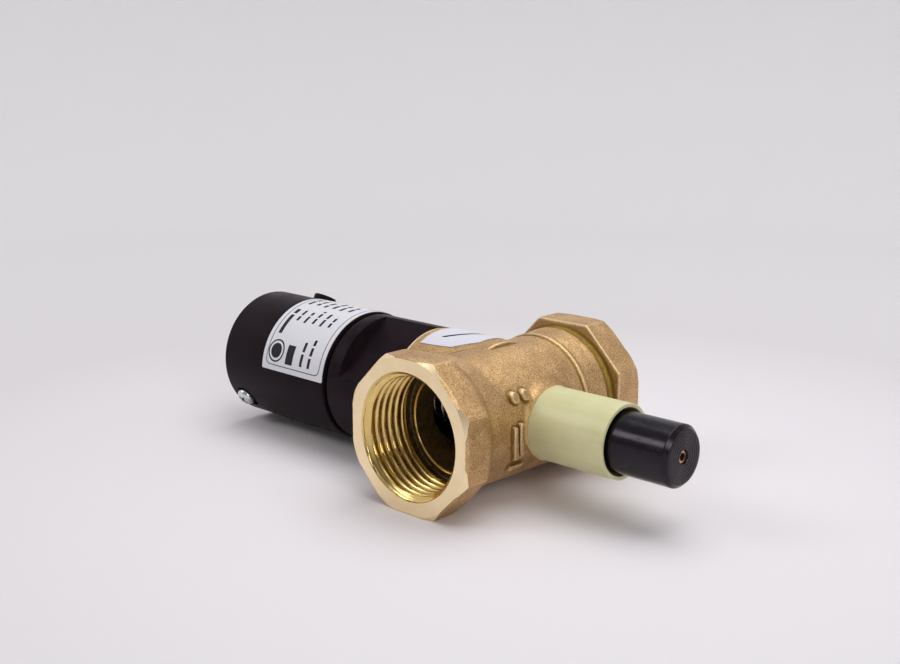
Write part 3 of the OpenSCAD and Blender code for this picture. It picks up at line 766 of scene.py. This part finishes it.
def darken_reliefs(body):
    """Gives the grooves behind the threads the raw bore's dark material, which paints the shade on their back
    walls.
    """
    raw = body.data.materials.find("raw_and_shaded_bore_brass")
    for face in body.data.polygons:
        middle = face.center / MM
        reach, radius = abs(middle.y), math.hypot(middle.x, middle.z)
        if CHAMBER_END - 1.5 < reach < THREAD_END - 0.01 and CHAMBER_R + 0.56 < radius < RELIEF_R + 0.2:
            # painted shade: the relief faces take the dark bore material
            face.material_index = raw


# Adapter and coil housing -----

FLANGE_W = 5.0
FLAT_HALF = 14.25
FLAT_ANGLES = (127.5, 307.5)
GAP_R = ADAPTER_R - 1.4
COUPLING_R = 12.9


def adapter():
    """The black adapter: round flange at the housing, two spanner flats, a spigot in the neck."""
    low, high, end = adapter_low[0], adapter_high[0], HOUSING_FRONT + 1.2
    spigot_r, tube_r, flange_r, pocket = 14.45, 7.85, 9.3, NECK_END - 6.9
    groove_r, groove = spigot_r - 2.4, (NECK_END + 2.4, NECK_END + 4.8)
    profile = rounded([
        (tube_r, low, 0.1), (COUPLING_R, low, 0.3), (COUPLING_R, HOUSING_FRONT), (GAP_R, HOUSING_FRONT, 0.1),
        (GAP_R, end), (ADAPTER_R, end, 0.35), (ADAPTER_R, NECK_END, 0.2), (spigot_r, NECK_END),
        (spigot_r, groove[0]), (groove_r, groove[0]), (groove_r, groove[1]), (spigot_r, groove[1]),
        (spigot_r, high, 0.3), (flange_r, high, 0.2), (flange_r, pocket), (tube_r, pocket),
    ])
    piece = make_piece("adapter_shell", turned(profile, "x", 160), BLACK)
    block, faces = prism(rectangle(end + FLANGE_W, NECK_END + 0.1, -30, 30), 0, 10)
    carve(piece, [make_piece("flat_cutter", (radial(block, 0, angle, FLAT_HALF), faces), BLACK)
                  for angle in FLAT_ANGLES])
    soften(piece, 0.18)
    place(piece, BLACK, "adapter")


def soften(piece, width):
    """Rounds a piece's sharp edges and applies the result."""
    step = piece.modifiers.new("soften", "BEVEL")
    step.width = width * MM
    step.segments = 2
    step.limit_method = "ANGLE"
    step.angle_limit = math.radians(35)
    apply_modifiers(piece)
    shade(piece)


SCREW_X = (screws_low[0] + screws_high[0]) / 2
SCREW_ANGLES = (216.5, 36.5)
SCREW_SEAT_R = HOUSING_R - 1.1
SCREW_POCKET_R, SCREW_HOLE_R = 3.9, 1.55
POCKET_SHIFT = 1.0
ENTRY_X = housing_low[0] + 15
ENTRY_ANGLE = 62
ENTRY_R, ENTRY_SHANK_R = 3.5, 2.9
ENTRY_SEAT = HOUSING_R - 0.5


def turned_outwards(profile, station, angle, steps=48):
    """Points and faces of a (radius, height) outline turned about a line away from the X axis."""
    points, faces = turned(profile, "y", steps)
    return radial([(p[0], p[2], p[1]) for p in points], station, angle), faces


def bored(radius, low, high, station, angle):
    """A round cutter pointing away from the X axis."""
    profile = [(0, low), (radius, low), (radius, high), (0, high)]
    return make_piece("bore_cutter", turned_outwards(profile, station, angle), BLACK)


def coil_housing():
    """The tubular black housing, with two screw pockets and the hole of the cable entry plug."""
    low, high, out = housing_low[0], HOUSING_FRONT, HOUSING_R + CLEAR
    bore_r, inner, hole_r = HOUSING_R - 2, high - 2.8, COUPLING_R + 0.05
    profile = rounded([
        (hole_r, high, 0.2), (HOUSING_R, high, 0.7), (HOUSING_R, low, 0.7), (bore_r, low, 0.25),
        (bore_r, inner, 0.4), (hole_r, inner),
    ])
    piece = make_piece("coil_housing_shell", turned(profile, "x", 192), BLACK)
    cutters = []
    for angle in SCREW_ANGLES:
        cutters.append(bored(SCREW_HOLE_R, SCREW_SEAT_R - 3, out, SCREW_X, angle))
        cutters.append(bored(SCREW_POCKET_R, SCREW_SEAT_R, out, SCREW_X + POCKET_SHIFT, angle))
    cutters.append(bored(ENTRY_SHANK_R + 0.05, HOUSING_R - 4, out, ENTRY_X, ENTRY_ANGLE))
    cutters.append(bored(ENTRY_R + 0.05, ENTRY_SEAT, out, ENTRY_X, ENTRY_ANGLE))
    carve(piece, cutters)
    shade(piece, 30)
    place(piece, BLACK, "coil_housing")


def end_cover():
    """The plug in the housing's end: a dished face with a raised ring, and grooves for its seal."""
    low, high, r = cover_low[0], cover_high[0], cover_high[1]
    dish, ring, groove, groove_r = low + 0.8, low + 0.5, (high - 2.35, high - 0.45), r - 1.85
    profile = rounded([
        (0, dish), (4.2, dish, 0.2), (4.2, ring, 0.2), (5.4, ring, 0.2), (5.4, dish, 0.2), (12, dish, 0.3),
        (12, low, 0.3), (r, low, 0.6), (r, groove[0]), (groove_r, groove[0]), (groove_r, groove[1]),
        (r, groove[1]), (r, high, 0.2), (0, high),
    ])
    piece = make_piece("end_cover_disc", turned(profile), BLACK)
    carve(piece, [bored(SCREW_HOLE_R, 10.5, HOUSING_R + 1, SCREW_X, angle) for angle in SCREW_ANGLES])
    shade(piece)
    place(piece, BLACK, "end_cover")


def slot_bar(width, reach, low, high, turn_deg):
    """Points and faces of a bar for a slot or for one line of a cross recess, drawn round Z."""
    a = math.radians(turn_deg)
    along, across = np.array([math.cos(a), math.sin(a)]), np.array([-math.sin(a), math.cos(a)])
    outline = [along * i * reach + across * j * width for i, j in rectangle(-1, 1, -1, 1)]
    return prism(outline, low, high)


def pan_screw(index, angle):
    """A pan head screw with a cross recess, its shank in the cover."""
    seat, tip, shank_r, head_r, top = SCREW_SEAT_R, 11.0, 1.5, 2.9, SCREW_SEAT_R + 2.5
    profile = rounded([
        (0, tip), (1.1, tip), (shank_r, tip + 0.5), (shank_r, seat), (head_r, seat, 0.2),
        (head_r, seat + 1.5, 0.9), (head_r - 1.0, top, 0.8), (0, top),
    ])
    piece = make_piece(f"cover_screw_{index}", turned_outwards(profile, SCREW_X, angle), "zinc")
    cutters = []
    for turn in (45, 135):
        bar, faces = slot_bar(0.35, 1.7, seat + 0.9, top + 1, turn)
        cutters.append(make_piece("recess_cutter", (radial(bar, SCREW_X, angle), faces), "zinc"))
    carve(piece, cutters)
    soften(piece, 0.08)
    place(piece, "zinc", "cover_screws")


def entry_plug():
    """The slotted plug of the cable entry."""
    foot, top = HOUSING_R - 1.8, HOUSING_R + 1.5
    profile = rounded([
        (0, foot), (ENTRY_SHANK_R, foot, 0.1), (ENTRY_SHANK_R, ENTRY_SEAT), (ENTRY_R, ENTRY_SEAT, 0.1),
        (ENTRY_R, top, 0.5), (0, top),
    ])
    piece = make_piece("entry_plug_cap", turned_outwards(profile, ENTRY_X, ENTRY_ANGLE, 64), BLACK)
    slot, faces = slot_bar(0.4, 2.2, top - 0.9, top + 1, 0)
    carve(piece, [make_piece("slot_cutter", (radial(slot, ENTRY_X, ENTRY_ANGLE), faces), BLACK)])
    soften(piece, 0.1)
    place(piece, BLACK, "entry_plug")


# Labels -----

def wrapped(name, outlines, radius, thickness, kind, strip=0.8):
    """Flat outlines of (station, angle in degrees) points as one thin plate, bent round X in strips."""
    bm = bmesh.new()
    for outline in outlines:
        bm.faces.new([bm.verts.new((x, math.radians(a) * radius, 0)) for x, a in outline])
    bmesh.ops.remove_doubles(bm, verts=bm.verts, dist=1e-4)
    arcs = [v.co.y for v in bm.verts]
    for arc in np.arange(min(arcs) + strip / 2, max(arcs), strip):
        everything = list(bm.verts) + list(bm.edges) + list(bm.faces)
        bmesh.ops.bisect_plane(bm, geom=everything, dist=1e-5, plane_co=(0, arc, 0), plane_no=(0, 1, 0))
    lifted = bmesh.ops.extrude_face_region(bm, geom=list(bm.faces))
    for item in lifted["geom"]:
        if isinstance(item, bmesh.types.BMVert):
            item.co.z += thickness
    points = []
    for vertex in bm.verts:
        a, r = vertex.co.y / radius, radius + vertex.co.z
        points.append((vertex.co.x, r * math.cos(a), r * math.sin(a)))
    bm.verts.index_update()
    faces = [[v.index for v in face.verts] for face in bm.faces]
    bm.free()
    return make_piece(name, (points, faces), kind, sharp_deg=40)


def round_patch(x0, x1, a0, a1, corner, radius):
    """A rectangle with round corners; corner is in millimetres."""
    degree = math.radians(1) * radius
    corners = [(x, a * degree, corner) for x, a in rectangle(x0, x1, a0, a1)]
    return [(x, arc / degree) for x, arc in rounded(corners, 5)]


def ring_strips(outer, inner):
    """Quads between two outlines with the same number of points."""
    count = len(outer)
    return [[outer[i], outer[(i + 1) % count], inner[(i + 1) % count], inner[i]] for i in range(count)]


def disc(x, angle, r, radius, steps=24):
    """A round dot of print."""
    degree = math.radians(1) * radius
    turns = [2 * math.pi * k / steps for k in range(steps)]
    return [(x + r * math.cos(t), angle + r * math.sin(t) / degree) for t in turns]


LABEL_T, PRINT_T = 0.12, 0.02
LABEL_ANGLES = (14, 176)  # both ends of the label round the housing, in degrees


def rating_label():
    """The paper label over the housing's top."""
    outline = round_patch(label_low[0], label_high[0], *LABEL_ANGLES, 0.5, HOUSING_R)
    piece = wrapped("rating_label_sheet", [outline], HOUSING_R, LABEL_T, "label_paper")
    place(piece, "label", "rating_label")


def label_border():
    """The thin printed frame."""
    r, outlines = HOUSING_R + LABEL_T, []
    degree = math.radians(1) * r
    for inset, corner in ((1.5, 2.2), (1.78, 2.0)):
        stations = label_low[0] + inset, label_high[0] - inset
        angles = LABEL_ANGLES[0] + inset / degree, LABEL_ANGLES[1] - inset / degree
        outlines.append(round_patch(*stations, *angles, corner, r))
    place(wrapped("label_border", ring_strips(*outlines), r, PRINT_T, "border_ink"), "label")


def text_line(x, height, first, last, seed, radius, word=(1.6, 4.2), gap=0.7):
    """One line of words, each drawn as a plain dash."""
    degree = math.radians(1) * radius
    rng = np.random.default_rng(seed)
    words, a = [], first
    while a > last:
        length = rng.uniform(*word) / degree
        end = max(a - length, last)
        words.append(rectangle(x, x + height, end, a))
        a = end - gap / degree
    return words


def label_print():
    """Generic print: a plain disc mark, a solid block and lines of dashes."""
    r, left = HOUSING_R + LABEL_T, label_low[0]
    shapes = [disc(left + 5.4, 158, 2.3, r), rectangle(left + 10.2, left + 13.4, 150.5, 168)]
    shapes += ring_strips(disc(left + 5.4, 158, 3.5, r), disc(left + 5.4, 158, 3.0, r))
    shapes += text_line(left + 3.2, 1.5, 142, 112, 3, r, word=(7, 9))
    shapes += text_line(left + 16.6, 1.1, 167, 145, 5, r)
    shapes += text_line(left + 20.0, 1.1, 167, 141, 6, r)
    for row in range(6):
        x, shift, ragged = left + 3.4 + 3.5 * row, row % 2, row % 3
        if row > 0:
            shapes += text_line(x, 1.0, 127 - shift, 108 + 2 * ragged, 70 + row, r, (1.4, 3.0), 0.6)
        shapes += text_line(x, 1.2, 101 - shift, 82 + 2 * ragged, 10 + row, r, (1.4, 3.0), 0.6)
        shapes += text_line(x, 0.9, 76, 44 + 3 * ragged, 30 + row, r, (1.0, 2.8), 0.5)
        shapes += text_line(x, 0.9, 38, 22, 50 + row, r, (1.0, 2.8), 0.5)
    place(wrapped("label_print", shapes, r, PRINT_T, "label_ink", strip=1.5), "label")


def marking_sticker():
    """The hand-cut white sticker on the neck."""
    left = NECK_END + 2.9
    outline = [(left, 64), (left, 118.5), (left + 5.6, 117.6), (-10.2, 115.6), (-7.2, 108.5), (-4.2, 101),
               (-4.0, 84), (-5.2, 64)]
    piece = wrapped("sticker_sheet", [outline], NECK_R + 0.04, 0.13, "sticker_paper")
    place(piece, "label", "marking_sticker")


def pen_stroke():
    """The pen stroke on the sticker: a slim curved line."""
    r, steps, half, bow = NECK_R + 0.17, 16, 0.62, 1.6
    middle = []
    for i in range(steps + 1):
        t = i / steps
        middle.append((-16.5 + 6.0 * t + bow * math.sin(math.pi * t), 105 - 33 * t))
    strips = []
    for (x0, a0), (x1, a1) in zip(middle, middle[1:]):
        strips.append([(x0 - half, a0), (x1 - half, a1), (x1 + half, a1), (x0 + half, a0)])
    place(wrapped("pen_stroke", strips, r, PRINT_T, "pen_ink"), "label")


# Sleeve and knob -----

def guard_sleeve():
    """The pale green tube round the knob."""
    low, high, bore = sleeve_low[0], sleeve_high[0], SLEEVE_R - 1.09
    profile = rounded([(bore, low, 0.1), (SLEEVE_R, low, 0.3), (SLEEVE_R, high, 0.28), (bore, high, 0.28)], 5)
    piece = make_piece("guard_sleeve_tube", turned(profile, "x", 160), "sleeve_plastic")
    place(piece, "sleeve_plastic", "guard_sleeve")


def reset_knob():
    """The black push knob: a turned end face with shallow rings and the set screw's hole."""
    low, high, step = knob_low[0], knob_high[0], set_screw_low[0]
    hole, stem_hole, chamfer, deep = 1.75, 2.52, 1.1, high - 0.07
    profile = rounded([(stem_hole, low), (KNOB_R, low, 0.4), (KNOB_R, high - chamfer, 0.1),
                       (KNOB_R - chamfer, high, 0.1)], 1)
    for r in (6.1, 5.3, 4.4, 3.5, 2.6):
        profile += [(r + 0.18, high), (r + 0.06, deep), (r - 0.06, deep), (r - 0.18, high)]
    profile += [(hole + 0.15, high), (hole, high - 0.15), (hole, step), (stem_hole, step)]
    piece = make_piece("reset_knob_cap", turned(profile), "knob_plastic", sharp_deg=20)
    place(piece, "knob_plastic", "reset_knob", body=MOVING)


def knob_screw():
    """The socket set screw in the knob's end."""
    low, high, r = set_screw_low[0], set_screw_high[0], set_screw_high[1]
    profile = rounded([(0, low), (r, low, 0.3), (r, high, 0.3), (0, high)])
    piece = make_piece("knob_set_screw", turned(profile, "x", 64), "set_screw_copper")
    socket_r, deep = 1 / math.cos(math.pi / 6), 2
    hexagon = [(socket_r * math.cos(k * math.pi / 3), socket_r * math.sin(k * math.pi / 3)) for k in range(6)]
    points, faces = prism(hexagon, high - deep, high + 1)
    carve(piece, [make_piece("hex_cutter", ([(p[2], p[0], p[1]) for p in points], faces), "rubber")])
    shade(piece)
    place(piece, "copper", "knob_screw", body=MOVING)


# Closing spring -----

def closing_spring():
    """A coil spring with closed ends."""
    wire, coil_r, turns, steps, sides, closed = 0.6, 8.0, 8.0, 360, 12, 1.3
    first, last = spring_low[0] + wire, spring_high[0] - wire
    points = []
    for i in range(steps + 1):
        turn = turns * (i / steps)
        open_share = min(1.0, max(0.0, (turn - 1) / (turns - 2)))
        x = first + closed * min(turn, 1) + closed * max(0, turn - turns + 1)
        x += (last - first - 2 * closed) * open_share
        for k in range(sides):
            section = 2 * math.pi * k / sides
            r, along = coil_r + wire * math.cos(section), wire * math.sin(section)
            points.append(on_axis("x", r, x + along, 2 * math.pi * turn))
    faces = tube_faces(steps + 1, sides) + [list(range(sides)), [steps * sides + k for k in range(sides)]]
    piece = make_piece("closing_spring_coil", (points, faces), "stainless")
    place(piece, "stainless", "closing_spring")
    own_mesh(piece)


# CAD nodes that stay -----

def finish_inner_parts():
    """Gives the hidden CAD parts their materials."""
    kinds = {
        "rubber": ("adapter_seal", "cover_seal", "stem_seals", "bush_seal", "poppet_seal"),
        "terminal_plastic": ("terminal_block", "coil_bobbin"),
        "zinc": ("terminal_screws",),
        "copper": ("coil_leads", "coil_winding"),
        "iron": ("yoke_tube", "yoke_washers", "fixed_pole", "armature"),
        "stainless": ("guide_tube", "stem", "retaining_ring"),
        "turned_brass": ("guide_bush", "poppet_plate", "clamp_washer", "clamp_nut"),
    }
    for kind, nodes in kinds.items():
        for piece in (frame["nodes"][node] for node in nodes):
            piece.data.materials.clear()
            piece.data.materials.append(MATERIALS[kind])


# Stage -----

VIEW_AZIMUTH, VIEW_ELEVATION = math.radians(43.778), math.radians(12.9)
VIEW_PLACE = (0.21585, -0.24460, 0.09590)  # in metres


def backdrop_material():
    """A pale floor and wall. Reflections see the unlit room above the table on the camera's side."""
    s = Shader("backdrop")
    middle, dip, far = (0.07, (0.78, 0.755, 0.78)), (0.20, (0.67, 0.655, 0.67)), (0.50, (0.78, 0.77, 0.78))
    colour = s.ramp(s.measure("LENGTH"), middle, dip, far)
    to_camera = s.measure("DOT_PRODUCT", (math.sin(VIEW_AZIMUTH), -math.cos(VIEW_AZIMUTH), 0))
    height = s.measure("DOT_PRODUCT", (0, 0, 1))
    front, above = s.ramp(to_camera, (0.0, 0), (0.25, 1)), s.ramp(height, (0.05, 0), (0.14, 1))
    unlit = s.mix(s.mix(1.0, front, above, "MULTIPLY"), colour, (0.12, 0.105, 0.11))
    seen = s.nodes.new("ShaderNodeLightPath").outputs["Is Camera Ray"]
    s.set(Base_Color=s.mix(seen, unlit, colour), Roughness=0.8, Specular_IOR_Level=0.2)


def stage():
    """A round pale floor that sweeps up into a wall, so that it looks the same from every side."""
    floor, flat, sweep, top, steps = -OCTAGON_HALF, 480.0, 160.0, 520.0, 96
    profile = [(flat * 0.5, floor), (flat, floor)]
    for k in range(1, 13):
        a = k / 12 * math.pi / 2
        profile.append((flat + sweep * math.sin(a), floor + sweep * (1 - math.cos(a))))
    profile.append((flat + sweep, top))
    turns = [2 * math.pi * k / steps for k in range(steps)]
    points = [(radius * math.cos(t), radius * math.sin(t), z) for radius, z in profile for t in turns]
    faces = tube_faces(len(profile), steps) + [list(range(steps))]
    backdrop_material()
    piece = make_piece("backdrop", (points, faces), "backdrop")
    piece.data.flip_normals()


def area_light(name, spot, target, size, power, colour):
    """A rectangular lamp turned to its target, in metres and watts."""
    light = bpy.data.lights.new(name, "AREA")
    light.shape = "RECTANGLE"
    light.size, light.size_y = size
    light.energy = power
    light.color = colour
    lamp = bpy.data.objects.new(name, light)
    bpy.context.scene.collection.objects.link(lamp)
    lamp.location = spot
    lamp.rotation_euler = (Vector(target) - Vector(spot)).to_track_quat("-Z", "Y").to_euler()


def lights():
    """A dim studio with one lamp overhead and one on each side of the camera."""
    world = bpy.data.worlds.new("studio")
    world.use_nodes = True
    background = world.node_tree.nodes["Background"]
    background.inputs["Color"].default_value = (0.97, 0.96, 1.0, 1)
    background.inputs["Strength"].default_value = 0.45
    bpy.context.scene.world = world
    bpy.context.scene.view_settings.view_transform = "Standard"
    area_light("overhead", (0.05, 0.12, 0.62), (0, 0, 0), (0.7, 0.5), 2.7, (1.0, 0.99, 1.0))
    area_light("left_front", (-0.42, -0.50, 0.34), (0, -0.02, 0), (0.30, 0.45), 1.9, (1.0, 0.985, 0.97))
    area_light("right_side", (0.55, -0.24, 0.32), (0, 0, 0), (0.30, 0.25), 1.2, (1.0, 0.985, 0.96))


def camera():
    """The camera of the reference view."""
    data = bpy.data.cameras.new("camera")
    data.lens, data.sensor_width = 50.6, 36
    data.clip_start, data.clip_end = 0.01, 10
    eye = bpy.data.objects.new("camera", data)
    bpy.context.scene.collection.objects.link(eye)
    eye.location = VIEW_PLACE
    eye.rotation_euler = (math.pi / 2 - VIEW_ELEVATION, 0, VIEW_AZIMUTH)
    bpy.context.scene.camera = eye


# Build -----

valve_body()
adapter()
coil_housing()
end_cover()
for index, angle in enumerate(SCREW_ANGLES, 1):
    pan_screw(index, angle)
entry_plug()
rating_label()
label_border()
label_print()
marking_sticker()
pen_stroke()
guard_sleeve()
reset_knob()
knob_screw()
closing_spring()
finish_inner_parts()
stage()
lights()
camera()
